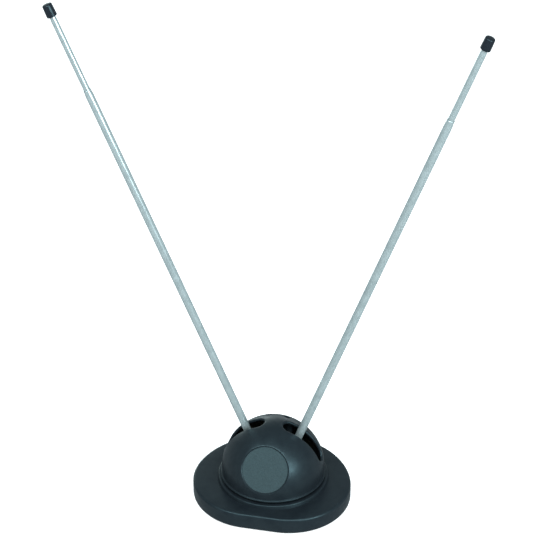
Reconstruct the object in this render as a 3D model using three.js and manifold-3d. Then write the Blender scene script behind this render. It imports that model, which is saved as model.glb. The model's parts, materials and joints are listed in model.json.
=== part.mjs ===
// Table-top rabbit ears antenna: two telescopic ears that swing in a slotted dome on a weighted base.
// Millimetres. +Z is up, the flat front of the base faces -Y and the ears spread along X.
// The origin is on the surface that the antenna stands on, under the centre of the dome.

import * as THREE from 'three';
import { mergeVertices } from 'three/addons/utils/BufferGeometryUtils.js';
import Module from 'manifold-3d';

const wasm = await Module();
wasm.setup();

// ---- Driving dimensions ----

// Dome: a hemisphere on a short straight skirt.
const DOME_RADIUS = 45;
const DOME_WALL = 2.2;
const DOME_CENTRE_Z = 27.5;
const SKIRT_DROP = 5.9;          // from the hemisphere's centre down to the lip of the skirt
const BEAD_RADIUS = 46;          // the raised bead along the lip
const BEAD_HEIGHT = 1.6;

// Base: a round plate with a flat front, joined by arcs of a smaller radius.
const BASE_BOTTOM_Z = 1;
const BASE_TOP_Z = 16.3;
const BASE_RADIUS = 70.1;
const BASE_CENTRE_Y = -9.2;
const FRONT_FLAT_Y = -60;
const FRONT_FLAT_HALF = 15.1;
const BASE_EDGE_RADIUS = 1.5;
const BASE_WALL = 2.5;

// Collar: the raised ring that the dome's neck drops into.
const COLLAR_TOP_Z = 19.6;
const COLLAR_RADIUS = 48;
const COLLAR_EDGE_RADIUS = 1;
const COLLAR_FLARE = 1;           // extra radius at the collar's foot
const COLLAR_BORE = 43.9;
const LEDGE_Z = 17;
const THROAT_RADIUS = 41;

// Slots: two openings through the dome, symmetric about the plane that the ears swing in.
const EAR_PLANE_Y = 2.2;
const SLOT_HALF_WIDTH = 6.5;
const SLOT_TOP_DEG = 10.9;       // both measured about the dome's centre, from straight up
const SLOT_END_DEG = 75.5;

// Badge: a blank disc let into the front of the dome.
const BADGE_RADIUS = 19.9;
const BADGE_TILT_DEG = 30.2;     // how far its face looks up
const BADGE_FACE_DISTANCE = 39.1; // from the dome's centre; the disc lies below the surface
const BADGE_THICKNESS = 0.8;
const BADGE_SEAT_DEPTH = 1;      // from its face to the floor of its seat

// Dome screws: two, behind the slots.
const DOME_SCREW_X = 8.6;
const DOME_SCREW_Y = 19.8;
const DOME_SCREW_SEAT_Z = 60;
const DOME_SCREW_WAY = 2.7;      // radius of the way that its head drops down
const DOME_BOSS_RADIUS = 4.4;
const DOME_BOSS_DEPTH = 8;

// Ears.
const PIVOT_X = 12.1;
const PIVOT_Z = 33.4;
const LEFT_TILT_DEG = 22.3;      // from straight up, as the ears stand at rest
const RIGHT_TILT_DEG = 20.1;
const OUTER_RADIUS = 3.5;
const MIDDLE_RADIUS = 2.7;
const INNER_RADIUS = 2.1;
const TUBE_WALL = 0.35;
const OUTER_START = 8;           // distances along an ear are from its pivot
const OUTER_END = 373;
const MIDDLE_START = 90;
const MIDDLE_END = 439.6;
const INNER_START = 95;
const CAP_START = 440;
const CAP_LENGTH = 10.9;
const CAP_RADIUS = 4.35;         // at its open end
const CAP_TOP_RADIUS = 4;
const CAP_EDGE_RADIUS = 1.3;
const CHEEK_GAP_HALF = 4.1;      // from the swing plane to the inner face of each cheek
const CHEEK_THICKNESS = 2.4;

const GAP = 0.3;                 // clearance between pieces that would otherwise touch
const FINE = 40;                 // facets round the dome and collar
const COARSE = 16;               // facets round a tube, pin or boss
const SMALL = 10;                // facets round a screw or its hole
const CLEARANCE_HOLE = 1.7;      // radii of the holes that a screw passes through and bites in
const PILOT_HOLE = 1.25;
const radians = THREE.MathUtils.degToRad;

// ---- Solids ----

// A closed geometry as a solid: shared vertices merged and collapsed triangles dropped.
function solid(geometry) {
  const bare = geometry.clone();
  bare.deleteAttribute('normal');
  bare.deleteAttribute('uv');
  const merged = mergeVertices(bare, 1e-4);
  const corners = merged.index.array;
  const triangles = [];
  for (let i = 0; i < corners.length; i += 3) {
    const [a, b, c] = corners.slice(i, i + 3);
    if (a !== b && b !== c && c !== a) triangles.push(a, b, c);
  }
  return new wasm.Manifold(new wasm.Mesh({
    numProp: 3,
    vertProperties: new Float32Array(merged.getAttribute('position').array),
    triVerts: new Uint32Array(triangles),
  }));
}

function union(solids) {
  return solids.reduce((sum, next) => sum.add(next));
}

function cut(body, tools) {
  return tools.reduce((left, tool) => left.subtract(tool), body);
}

function geometryOf(body) {
  const mesh = body.getMesh();
  const geometry = new THREE.BufferGeometry();
  geometry.setAttribute('position', new THREE.BufferAttribute(mesh.vertProperties, 3));
  geometry.setIndex(new THREE.BufferAttribute(mesh.triVerts, 1));
  return geometry;
}

// A turned solid about Z. The profile is a list of [radius, z], anticlockwise.
function turned(profile, segments = COARSE) {
  const points = profile.map(([radius, z]) => new THREE.Vector2(radius, z));
  const first = points[0];
  if (first.x > 0) points.push(first.clone());
  return solid(new THREE.LatheGeometry(points, segments).rotateX(Math.PI / 2));
}

function cylinder(radius, low, high, segments = COARSE) {
  return turned([[0, low], [radius, low], [radius, high], [0, high]], segments);
}

function ring(inner, outer, low, high, segments = COARSE) {
  return turned([[inner, low], [outer, low], [outer, high], [inner, high]], segments);
}

function box(xs, ys, zs) {
  const size = [xs[1] - xs[0], ys[1] - ys[0], zs[1] - zs[0]];
  const middle = [xs[0] + xs[1], ys[0] + ys[1], zs[0] + zs[1]].map((sum) => sum / 2);
  return solid(new THREE.BoxGeometry(...size).translate(...middle));
}

// A plate whose outline lies in XY, from z = low to z = high.
function plate(shape, low, high, options = {}) {
  const settings = { depth: high - low, bevelEnabled: false, curveSegments: 9, ...options };
  return solid(new THREE.ExtrudeGeometry(shape, settings).translate(0, 0, low));
}

// The same body turned so that its Z axis points along +Y.
function alongY(body) {
  return body.rotate([-90, 0, 0]);
}

function arc(radius, fromDeg, toDeg, steps, centre = [0, 0]) {
  const points = [];
  for (let i = 0; i <= steps; i += 1) {
    const angle = radians(fromDeg + ((toDeg - fromDeg) * i) / steps);
    points.push([centre[0] + radius * Math.cos(angle), centre[1] + radius * Math.sin(angle)]);
  }
  return points;
}

// ---- Materials ----

function material(color, roughness, metalness) {
  return new THREE.MeshStandardMaterial({ color, roughness, metalness });
}

const BLACK_PLASTIC = material(0x1d2024, 0.5, 0);
const CAP_PLASTIC = material(0x16181b, 0.45, 0);
const BADGE_PLASTIC = material(0x3c4850, 0.7, 0);
const FRAME_PLASTIC = material(0x24262a, 0.6, 0);
const RUBBER = material(0x101113, 0.9, 0);
const TUBE_METAL = material(0xc6cfd0, 0.32, 1);
const PLATED_STEEL = material(0xb9bdc0, 0.35, 1);
const BALLAST_STEEL = material(0x6f7376, 0.55, 1);
const BRASS = material(0xb5964a, 0.4, 1);
const BOARD = material(0x9b7a3c, 0.7, 0);
const FERRITE = material(0x2c2b2d, 0.6, 0);
const COPPER = material(0xa85a32, 0.4, 1);

function part(parent, name, body, look) {
  const mesh = new THREE.Mesh(geometryOf(body), look);
  mesh.name = name;
  parent.add(mesh);
  return mesh;
}

// ---- Base ----

function baseOutline(inset) {
  const frontDrop = FRONT_FLAT_Y - BASE_CENTRE_Y;
  const sideRadius = (BASE_RADIUS ** 2 - FRONT_FLAT_HALF ** 2 - frontDrop ** 2)
    / (2 * (BASE_RADIUS + frontDrop));
  const sideY = FRONT_FLAT_Y + sideRadius;
  const join = Math.atan2(sideY - BASE_CENTRE_Y, FRONT_FLAT_HALF);
  const shape = new THREE.Shape();
  shape.moveTo(-FRONT_FLAT_HALF, FRONT_FLAT_Y + inset);
  shape.absarc(FRONT_FLAT_HALF, sideY, sideRadius - inset, -Math.PI / 2, join);
  shape.absarc(0, BASE_CENTRE_Y, BASE_RADIUS - inset, join, Math.PI - join);
  shape.absarc(-FRONT_FLAT_HALF, sideY, sideRadius - inset, Math.PI - join, 1.5 * Math.PI);
  return shape;
}

const COVER_SCREWS = [[-30, -46], [30, -46], [36.6, 35.5], [-36.6, 35.5]];
const FRAME_SCREWS = [45, 135, 225, 315].map(
  (deg) => [44 * Math.cos(radians(deg)), 44 * Math.sin(radians(deg))],
);
const COVER_TOP_Z = 3.4;
const BALLAST_Z = [3.7, 7.2];
const FRAME_FLOOR_Z = [11.4, 13.6];
const GROMMET_Z = 7.6;           // height of the lead's way out through the rear wall
const GROMMET_HALF = [5.6, 2.2];

// The lead's way out: a straight hole with square ends through the rear wall.
function grommetPassage(extra, fromY, toY) {
  const [halfWidth, halfHeight] = GROMMET_HALF;
  const across = halfWidth + extra;
  const tall = halfHeight + extra;
  return box([-across, across], [fromY, toY], [GROMMET_Z - tall, GROMMET_Z + tall]);
}

function baseShell() {
  const body = plate(baseOutline(0), BASE_BOTTOM_Z + BASE_EDGE_RADIUS, BASE_TOP_Z - BASE_EDGE_RADIUS, {
    bevelEnabled: true,
    bevelThickness: BASE_EDGE_RADIUS,
    bevelSize: BASE_EDGE_RADIUS,
    bevelOffset: -BASE_EDGE_RADIUS,
    bevelSegments: 3,
  });
  const inside = BASE_TOP_Z - BASE_WALL;
  const cavity = plate(baseOutline(BASE_WALL), -1, inside);
  const edgeCentre = [COLLAR_RADIUS - COLLAR_EDGE_RADIUS, COLLAR_TOP_Z - COLLAR_EDGE_RADIUS];
  const collar = turned([
    [THROAT_RADIUS, inside],
    [COLLAR_RADIUS + COLLAR_FLARE, inside],
    [COLLAR_RADIUS + COLLAR_FLARE, BASE_TOP_Z],
    ...arc(COLLAR_EDGE_RADIUS, 0, 90, 2, edgeCentre),
    [COLLAR_BORE, COLLAR_TOP_Z],
    [COLLAR_BORE, LEDGE_Z],
    [THROAT_RADIUS, LEDGE_Z],
  ], FINE);
  const throat = cylinder(THROAT_RADIUS, 0, BASE_TOP_Z + 1, FINE);
  const bore = cylinder(COLLAR_BORE, LEDGE_Z, COLLAR_TOP_Z + 1, FINE);
  const bosses = COVER_SCREWS.map(([x, y]) => cut(
    cylinder(3.5, COVER_TOP_Z + GAP, inside + 0.5),
    [cylinder(PILOT_HOLE, 0, inside - 0.5, SMALL)],
  ).translate([x, y, 0]));
  const pilots = FRAME_SCREWS.map(
    ([x, y]) => cylinder(PILOT_HOLE, 0, LEDGE_Z - 1, SMALL).translate([x, y, 0]),
  );
  const hollow = cut(body, [cavity, throat, bore]);
  const rear = BASE_CENTRE_Y + BASE_RADIUS;
  return cut(union([hollow, collar, ...bosses]), [...pilots, grommetPassage(0, rear - 8, rear + 4)]);
}

function bottomCover() {
  const cover = plate(baseOutline(BASE_WALL + GAP), BASE_BOTTOM_Z, COVER_TOP_Z);
  const recess = plate(baseOutline(16.7), 0, BASE_BOTTOM_Z + 0.7);
  const holes = COVER_SCREWS.flatMap(([x, y]) => [
    cylinder(CLEARANCE_HOLE, 0, COVER_TOP_Z + 1, SMALL).translate([x, y, 0]),
    cylinder(3.1, 0, 2.5).translate([x, y, 0]),
  ]);
  return cut(cover, [recess, ...holes]);
}

function ballastPlate() {
  const holes = COVER_SCREWS.map(([x, y]) => cylinder(4.5, 0, 10).translate([x, y, 0]));
  return cut(plate(baseOutline(5), ...BALLAST_Z), holes);
}

function footPad() {
  return plate(baseOutline(17), 0, BASE_BOTTOM_Z + 0.6);
}

// Gland for the lead: a sleeve through the rear wall with a flange inside and outside.
function leadGrommet() {
  const rear = BASE_CENTRE_Y + BASE_RADIUS;
  const sleeve = grommetPassage(-0.15, rear - BASE_WALL - 1.6, rear + 0.9);
  const outer = grommetPassage(0.9, rear + 0.15, rear + 1.4);
  const inner = grommetPassage(0.9, rear - BASE_WALL - 2, rear - BASE_WALL - 0.9);
  const leadSlot = box([-4.4, 4.4], [rear - 12, rear + 4], [GROMMET_Z - 1.2, GROMMET_Z + 1.2]);
  return cut(union([sleeve, outer, inner]), [leadSlot]);
}

// A screw with its head's underside at z = 0 and its shank pointing down.
function screw(headRadius, headHeight, shankRadius, length) {
  const blank = turned([
    [0, -length],
    [shankRadius * 0.5, -length],
    [shankRadius, -length + 1.2],
    [shankRadius, 0],
    [headRadius, 0],
    [headRadius, headHeight * 0.55],
    [headRadius * 0.72, headHeight],
    [0, headHeight],
  ], SMALL);
  const arm = headRadius * 0.55;
  const blade = 0.35;
  const depth = [headHeight * 0.4, headHeight + 1];
  return cut(blank, [box([-arm, arm], [-blade, blade], depth), box([-blade, blade], [-arm, arm], depth)]);
}

// ---- Dome ----

// A body drawn about Z, moved out along the badge's axis to a distance from the dome's centre.
function towardsBadge(body, distance) {
  return body.translate([0, 0, distance])
    .rotate([90 - BADGE_TILT_DEG, 0, 0])
    .translate([0, 0, DOME_CENTRE_Z]);
}

// A cutter for one slot: a long outline with round ends, laid along the dome's curve.
function slotCutter(side) {
  const start = DOME_RADIUS * radians(SLOT_TOP_DEG);
  const end = DOME_RADIUS * radians(SLOT_END_DEG);
  const steps = 8;
  const outline = [];
  for (let i = 0; i <= steps; i += 1) {
    const along = THREE.MathUtils.lerp(start + SLOT_HALF_WIDTH, end - SLOT_HALF_WIDTH, i / steps);
    outline.push([along, -SLOT_HALF_WIDTH]);
  }
  outline.push(...arc(SLOT_HALF_WIDTH, -90, 90, 6, [end - SLOT_HALF_WIDTH, 0]).slice(1, -1));
  for (let i = steps; i >= 0; i -= 1) {
    const along = THREE.MathUtils.lerp(start + SLOT_HALF_WIDTH, end - SLOT_HALF_WIDTH, i / steps);
    outline.push([along, SLOT_HALF_WIDTH]);
  }
  outline.push(...arc(SLOT_HALF_WIDTH, 90, 270, 6, [start + SLOT_HALF_WIDTH, 0]).slice(1, -1));
  const shape = new THREE.Shape(outline.map(([along, across]) => new THREE.Vector2(along, across)));
  const [innerReach, outerReach] = [20, 75];
  const geometry = new THREE.ExtrudeGeometry(shape, {
    depth: outerReach - innerReach, bevelEnabled: false,
  });
  const position = geometry.getAttribute('position');
  for (let i = 0; i < position.count; i += 1) {
    const angle = position.getX(i) / DOME_RADIUS;
    const reach = innerReach + position.getZ(i);
    position.setXYZ(
      i,
      reach * Math.sin(angle),
      EAR_PLANE_Y + position.getY(i),
      DOME_CENTRE_Z + reach * Math.cos(angle),
    );
  }
  const cutter = solid(geometry);
  return side > 0 ? cutter : cutter.mirror([1, 0, 0]);
}

function dome() {
  const lipZ = DOME_CENTRE_Z - SKIRT_DROP;
  const neckRadius = COLLAR_BORE - 0.4;
  const neckInner = neckRadius - DOME_WALL;
  const bevel = 0.4;
  const outer = turned([
    [0, LEDGE_Z + GAP],
    [neckRadius, LEDGE_Z + GAP],
    [neckRadius, lipZ],
    [BEAD_RADIUS - bevel, lipZ],
    [BEAD_RADIUS, lipZ + bevel],
    [BEAD_RADIUS, lipZ + BEAD_HEIGHT - bevel],
    [BEAD_RADIUS - bevel, lipZ + BEAD_HEIGHT],
    [DOME_RADIUS, lipZ + BEAD_HEIGHT],
    ...arc(DOME_RADIUS, 0, 90, 10, [0, DOME_CENTRE_Z]),
  ], FINE);
  const innerRadius = DOME_RADIUS - DOME_WALL;
  const inner = turned([
    [0, 0],
    [neckInner, 0],
    [neckInner, lipZ],
    [innerRadius, lipZ + 1.5],
    ...arc(innerRadius, 0, 90, 8, [0, DOME_CENTRE_Z]),
  ], FINE);
  const seatFloor = BADGE_FACE_DISTANCE - BADGE_SEAT_DEPTH;
  const badgeSeat = towardsBadge(cylinder(BADGE_RADIUS + 0.15, 0, 10, FINE), seatFloor);
  const badgeBacking = towardsBadge(cylinder(BADGE_RADIUS + 4, 0, 10, FINE), seatFloor - DOME_WALL);
  const roomInside = inner.subtract(badgeBacking);
  const bossZ = DOME_SCREW_SEAT_Z - DOME_BOSS_DEPTH;
  const above = DOME_CENTRE_Z + DOME_RADIUS + 8;
  const bosses = [-1, 1].map((side) => cylinder(DOME_BOSS_RADIUS, bossZ, above)
    .translate([side * DOME_SCREW_X, DOME_SCREW_Y, 0])
    .intersect(outer));
  const screwWays = [-1, 1].flatMap((side) => [
    cylinder(DOME_SCREW_WAY, DOME_SCREW_SEAT_Z, above),
    cylinder(CLEARANCE_HOLE, bossZ - 22, DOME_SCREW_SEAT_Z + 1, SMALL),
  ].map((hole) => hole.translate([side * DOME_SCREW_X, DOME_SCREW_Y, 0])));
  const shell = union([outer.subtract(roomInside), ...bosses]);
  return cut(shell, [badgeSeat, slotCutter(1), slotCutter(-1), ...screwWays]);
}

function badgeDisc() {
  const bevel = 0.3;
  const disc = turned([
    [0, 0],
    [BADGE_RADIUS, 0],
    [BADGE_RADIUS, BADGE_THICKNESS - bevel],
    [BADGE_RADIUS - bevel, BADGE_THICKNESS],
    [0, BADGE_THICKNESS],
  ], FINE);
  return towardsBadge(disc, BADGE_FACE_DISTANCE - BADGE_THICKNESS);
}

// ---- Pivot frame and what it carries ----

const CHEEKS = [
  [EAR_PLANE_Y - CHEEK_GAP_HALF - CHEEK_THICKNESS, EAR_PLANE_Y - CHEEK_GAP_HALF],
  [EAR_PLANE_Y + CHEEK_GAP_HALF, EAR_PLANE_Y + CHEEK_GAP_HALF + CHEEK_THICKNESS],
];
const PIN_RADIUS = 1.8;
const BOARD_Z = [17, 18.6];
const BOARD_Y = [10.4, 34];
const BOARD_HALF = 16;
const STANDOFF = [BOARD_HALF - 5, BOARD_Y[1] - 3];
const TERMINAL_Y = BOARD_Y[0] + 2.6;

function cheek([near, far]) {
  const shape = new THREE.Shape();
  const top = PIVOT_Z + 6;
  const half = PIVOT_X + 7;
  shape.moveTo(-half, FRAME_FLOOR_Z[1] - 0.5);
  shape.lineTo(half, FRAME_FLOOR_Z[1] - 0.5);
  shape.lineTo(half, top - 4);
  shape.absarc(half - 4, top - 4, 4, 0, Math.PI / 2);
  shape.lineTo(-half + 4, top);
  shape.absarc(-half + 4, top - 4, 4, Math.PI / 2, Math.PI);
  return plate(shape, -far, -near, { curveSegments: 3 }).rotate([90, 0, 0]);
}

function pivotFrame() {
  const floor = cylinder(47, ...FRAME_FLOOR_Z, FINE);
  const foot = FRAME_FLOOR_Z[1] - 0.5;
  const web = box([-3, 3], [CHEEKS[0][1] - 1, CHEEKS[1][0] + 1], [foot, PIVOT_Z - 4]);
  const pillarTop = DOME_SCREW_SEAT_Z - DOME_BOSS_DEPTH - GAP;
  const pillars = [-1, 1].map((side) => cylinder(3.8, foot, pillarTop)
    .translate([side * DOME_SCREW_X, DOME_SCREW_Y, 0]));
  const pillarPilots = [-1, 1].map((side) => cylinder(PILOT_HOLE, pillarTop - 12, pillarTop + 1, SMALL)
    .translate([side * DOME_SCREW_X, DOME_SCREW_Y, 0]));
  const standoffs = [-1, 1].map((side) => cylinder(2.4, foot, BOARD_Z[0] - 0.1, SMALL)
    .translate([side * STANDOFF[0], STANDOFF[1], 0]));
  const boardPilots = [-1, 1].map((side) => cylinder(PILOT_HOLE, 0, BOARD_Z[0] + 1, SMALL)
    .translate([side * STANDOFF[0], STANDOFF[1], 0]));
  const pinHoles = [-1, 1].map((side) => alongY(cylinder(PIN_RADIUS + 0.1, -30, 30))
    .translate([side * PIVOT_X, 0, PIVOT_Z]));
  const screwHoles = FRAME_SCREWS.map(
    ([x, y]) => cylinder(CLEARANCE_HOLE, 0, 20, SMALL).translate([x, y, 0]),
  );
  const leadWay = box([-6, 6], [36, 50], [FRAME_FLOOR_Z[0] - 1, FRAME_FLOOR_Z[1] + 1]);
  const frame = union([floor, ...CHEEKS.map(cheek), web, ...pillars, ...standoffs]);
  return cut(frame, [...pillarPilots, ...boardPilots, ...pinHoles, ...screwHoles, leadWay]);
}

// Both the pin and its nut lie along Y on the ear's pivot.
function pivotPin() {
  const head = CHEEKS[0][0] - 0.2;
  const end = CHEEKS[1][1] + 4.6;
  return alongY(turned([
    [0, head - 1.8],
    [2.6, head - 1.8],
    [3.6, head - 1.1],
    [3.6, head],
    [PIN_RADIUS, head],
    [PIN_RADIUS, end - 0.5],
    [PIN_RADIUS - 0.5, end],
    [0, end],
  ]));
}

function pivotNut() {
  const from = CHEEKS[1][1] + 1.1;
  const hexagon = cylinder(3.7, from, from + 2.8, 6);
  return alongY(cut(hexagon, [cylinder(PIN_RADIUS + 0.12, from - 1, from + 4)]));
}

// A dished spring washer between a cheek and the knuckle.
function frictionWasher(low) {
  return alongY(turned([
    [PIN_RADIUS + 0.15, low + 0.35],
    [4.1, low],
    [4.1, low + 0.35],
    [PIN_RADIUS + 0.15, low + 0.7],
  ]));
}

// Plated strip from an ear's pivot down to the matching board.
function contactStrip() {
  const from = CHEEKS[1][1] + 0.2;
  const thickness = 0.6;
  const foot = BOARD_Z[1] + 0.1;
  const footEnd = BOARD_Y[0] + 5.2;
  const upright = box([-3.4, 3.4], [from, from + thickness], [foot, PIVOT_Z + 4.2]);
  const tail = box([-3.4, 3.4], [from, footEnd], [foot, foot + thickness]);
  const pinHole = alongY(cylinder(PIN_RADIUS + 0.15, -30, 30)).translate([0, 0, PIVOT_Z]);
  const screwHole = cylinder(1.4, 0, 30, SMALL).translate([0, TERMINAL_Y, 0]);
  return cut(union([upright, tail]), [pinHole, screwHole]);
}

function matchingBoard() {
  const board = box([-BOARD_HALF, BOARD_HALF], BOARD_Y, BOARD_Z);
  const pillarWays = [-1, 1].map((side) => cylinder(4.2, 0, 40)
    .translate([side * DOME_SCREW_X, DOME_SCREW_Y, 0]));
  const screwWays = [-1, 1].flatMap((side) => [
    cylinder(1.3, 0, 40, SMALL).translate([side * STANDOFF[0], STANDOFF[1], 0]),
    cylinder(1.3, 0, 40, SMALL).translate([side * PIVOT_X, TERMINAL_Y, 0]),
  ]);
  return cut(board, [...pillarWays, ...screwWays]);
}

// ---- Ears ----

// The turned end of an ear, with a flat eye for the pivot pin and a plug for the tube.
function knuckle() {
  const half = 3;
  const shoulderStart = 4.6;
  const eye = alongY(cylinder(5.4, -half, half));
  const neck = cylinder(OUTER_RADIUS - TUBE_WALL - 0.12, 0, OUTER_START + 10);
  const shoulder = cylinder(OUTER_RADIUS, shoulderStart, OUTER_START - 0.15);
  const bore = alongY(cylinder(PIN_RADIUS + 0.08, -10, 10));
  const flats = [[-9, -half], [half, 9]].map((ys) => box([-8, 8], ys, [-8, shoulderStart]));
  return cut(union([eye, neck, shoulder]), [bore, ...flats]);
}

// A thin tube whose far end is drawn in over the last few millimetres.
function drawnTube({ radius, from, to, taper, mouth }) {
  const inner = radius - TUBE_WALL;
  return turned([
    [inner, from],
    [radius, from],
    [radius, to - taper],
    [mouth + TUBE_WALL, to - 0.5],
    [mouth + TUBE_WALL, to],
    [mouth, to],
    [mouth, to - 0.5],
    [inner, to - taper],
  ]);
}

// A split spring sleeve that drags inside the next larger tube.
function slider(tubeRadius, boreRadius, low, high) {
  const outer = boreRadius - 0.08;
  const sleeve = ring(tubeRadius + 0.06, outer, low, high);
  return cut(sleeve, [box([0, outer + 1], [-0.3, 0.3], [low - 1, high + 1])]);
}

function tipCap() {
  const top = CAP_START + CAP_LENGTH;
  return turned([
    [0, top - 1.6],
    [INNER_RADIUS + 0.1, top - 1.6],
    [INNER_RADIUS + 0.1, CAP_START],
    [CAP_RADIUS - 0.2, CAP_START],
    [CAP_RADIUS, CAP_START + 0.4],
    ...arc(CAP_EDGE_RADIUS, 0, 80, 4, [CAP_TOP_RADIUS - CAP_EDGE_RADIUS, top - CAP_EDGE_RADIUS]),
    [0, top],
  ]);
}

function ear(name, tiltDeg) {
  const group = new THREE.Group();
  part(group, `${name}_knuckle`, knuckle(), BRASS);
  part(group, `${name}_outer_tube`, drawnTube({
    radius: OUTER_RADIUS, from: OUTER_START, to: OUTER_END, taper: 7, mouth: MIDDLE_RADIUS + 0.05,
  }), TUBE_METAL);
  part(group, `${name}_middle_tube`, drawnTube({
    radius: MIDDLE_RADIUS, from: MIDDLE_START, to: MIDDLE_END, taper: 3, mouth: INNER_RADIUS + 0.05,
  }), TUBE_METAL);
  const outerBore = OUTER_RADIUS - TUBE_WALL;
  const middleBore = MIDDLE_RADIUS - TUBE_WALL;
  part(group, `${name}_middle_slider`, slider(
    MIDDLE_RADIUS, outerBore, MIDDLE_START + 1, MIDDLE_START + 12,
  ), BRASS);
  part(group, `${name}_inner_tube`, ring(
    INNER_RADIUS - TUBE_WALL, INNER_RADIUS, INNER_START, CAP_START + CAP_LENGTH - 2, 20,
  ), TUBE_METAL);
  part(group, `${name}_inner_slider`, slider(
    INNER_RADIUS, middleBore, INNER_START + 1, INNER_START + 11,
  ), BRASS);
  part(group, `${name}_tip_cap`, tipCap(), CAP_PLASTIC);
  group.rotation.y = radians(tiltDeg);
  return group;
}

// ---- Balun ----

const CORE = { y: 27, z: 22.8, ring: 4.4, height: 2.2, thickness: 1.5, chamfer: 0.6 };
const WIRE_STANDOFF = 0.9;       // from the core's faces to the middle of the wire

// Wire wound round part of the ring core, as a helix on a torus.
class WindingPath extends THREE.Curve {
  constructor(fromDeg, toDeg, turns) {
    super();
    this.fromDeg = fromDeg;
    this.toDeg = toDeg;
    this.turns = turns;
  }

  getPoint(t, target = new THREE.Vector3()) {
    const around = radians(THREE.MathUtils.lerp(this.fromDeg, this.toDeg, t));
    const wrap = 2 * Math.PI * this.turns * t;
    const reach = CORE.ring + (CORE.thickness + WIRE_STANDOFF) * Math.cos(wrap);
    const rise = (CORE.height + WIRE_STANDOFF) * Math.sin(wrap);
    return target.set(reach * Math.cos(around), reach * Math.sin(around), rise);
  }
}

function winding(fromDeg, toDeg) {
  const section = new THREE.Shape();
  section.absarc(0, 0, 0.28, 0, 2 * Math.PI);
  const turns = 5;
  const path = new WindingPath(fromDeg, toDeg, turns);
  return solid(new THREE.ExtrudeGeometry(section, {
    steps: turns * 10, extrudePath: path, curveSegments: 3, bevelEnabled: false,
  })).translate([0, CORE.y, CORE.z]);
}

function balunCore() {
  const { ring: middle, height, thickness, chamfer } = CORE;
  const [inner, outer] = [middle - thickness, middle + thickness];
  return turned([
    [inner + chamfer, -height],
    [outer - chamfer, -height],
    [outer, -height + chamfer],
    [outer, height - chamfer],
    [outer - chamfer, height],
    [inner + chamfer, height],
    [inner, height - chamfer],
    [inner, -height + chamfer],
  ]).translate([0, CORE.y, CORE.z]);
}

// ---- Assembly ----

const group = new THREE.Group();

part(group, 'base_shell', baseShell(), BLACK_PLASTIC);
part(group, 'bottom_cover', bottomCover(), BLACK_PLASTIC);
part(group, 'ballast_plate', ballastPlate(), BALLAST_STEEL);
part(group, 'foot_pad', footPad(), RUBBER);
part(group, 'lead_grommet', leadGrommet(), RUBBER);
COVER_SCREWS.forEach(([x, y], i) => {
  const mesh = part(group, `cover_screw_${i + 1}`, screw(2.8, 1.4, 1.2, 8), PLATED_STEEL);
  mesh.position.set(x, y, 2.4);
  mesh.rotation.x = Math.PI;
});

part(group, 'dome', dome(), BLACK_PLASTIC);
part(group, 'badge_disc', badgeDisc(), BADGE_PLASTIC);
part(group, 'pivot_frame', pivotFrame(), FRAME_PLASTIC);
part(group, 'matching_board', matchingBoard(), BOARD);
part(group, 'balun_core', balunCore(), FERRITE);
part(group, 'balun_winding_left', winding(100, 260), COPPER);
part(group, 'balun_winding_right', winding(-80, 80), COPPER);
FRAME_SCREWS.forEach(([x, y], i) => {
  const mesh = part(group, `frame_screw_${i + 1}`, screw(2.8, 1.6, 1.2, 4.4), PLATED_STEEL);
  mesh.position.set(x, y, FRAME_FLOOR_Z[0] - 0.1);
  mesh.rotation.x = Math.PI;
});

[['left', -1], ['right', 1]].forEach(([name, side]) => {
  const screws = new THREE.Group();
  screws.position.set(side * DOME_SCREW_X, DOME_SCREW_Y, DOME_SCREW_SEAT_Z + 0.1);
  part(screws, `dome_screw_${name}`, screw(2.5, 1.7, 1.1, 16), PLATED_STEEL);
  group.add(screws);

  const boardScrew = part(group, `board_screw_${name}`, screw(2.2, 1.4, 1.1, 6), PLATED_STEEL);
  boardScrew.position.set(side * STANDOFF[0], STANDOFF[1], BOARD_Z[1] + 0.1);

  const terminal = part(group, `terminal_screw_${name}`, screw(2.2, 1.4, 1.1, 4), PLATED_STEEL);
  terminal.position.set(side * PIVOT_X, TERMINAL_Y, BOARD_Z[1] + 0.8);

  const pivot = new THREE.Group();
  pivot.position.set(side * PIVOT_X, 0, PIVOT_Z);
  part(pivot, `pivot_pin_${name}`, pivotPin(), PLATED_STEEL);
  part(pivot, `pivot_nut_${name}`, pivotNut(), PLATED_STEEL);
  part(pivot, `front_washer_${name}`, frictionWasher(CHEEKS[0][1] + 0.15), PLATED_STEEL);
  part(pivot, `rear_washer_${name}`, frictionWasher(CHEEKS[1][0] - 0.85), PLATED_STEEL);
  group.add(pivot);

  const strip = part(group, `contact_strip_${name}`, contactStrip(), BRASS);
  strip.position.x = side * PIVOT_X;

  const swing = ear(name, side * (side < 0 ? LEFT_TILT_DEG : RIGHT_TILT_DEG));
  swing.position.set(side * PIVOT_X, EAR_PLANE_Y, PIVOT_Z);
  group.add(swing);
});

export default group;
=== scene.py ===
"""Looks of a table-top rabbit ears antenna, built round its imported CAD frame.

Metres, +Z up. The flat front of the base faces -Y and the ears spread along X.
"""

import json
from math import acos, atan2, cos, pi, radians, sin, sqrt, tan

import bmesh
import bpy
from mathutils import Matrix, Vector, noise
from mathutils.geometry import delaunay_2d_cdt


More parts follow.
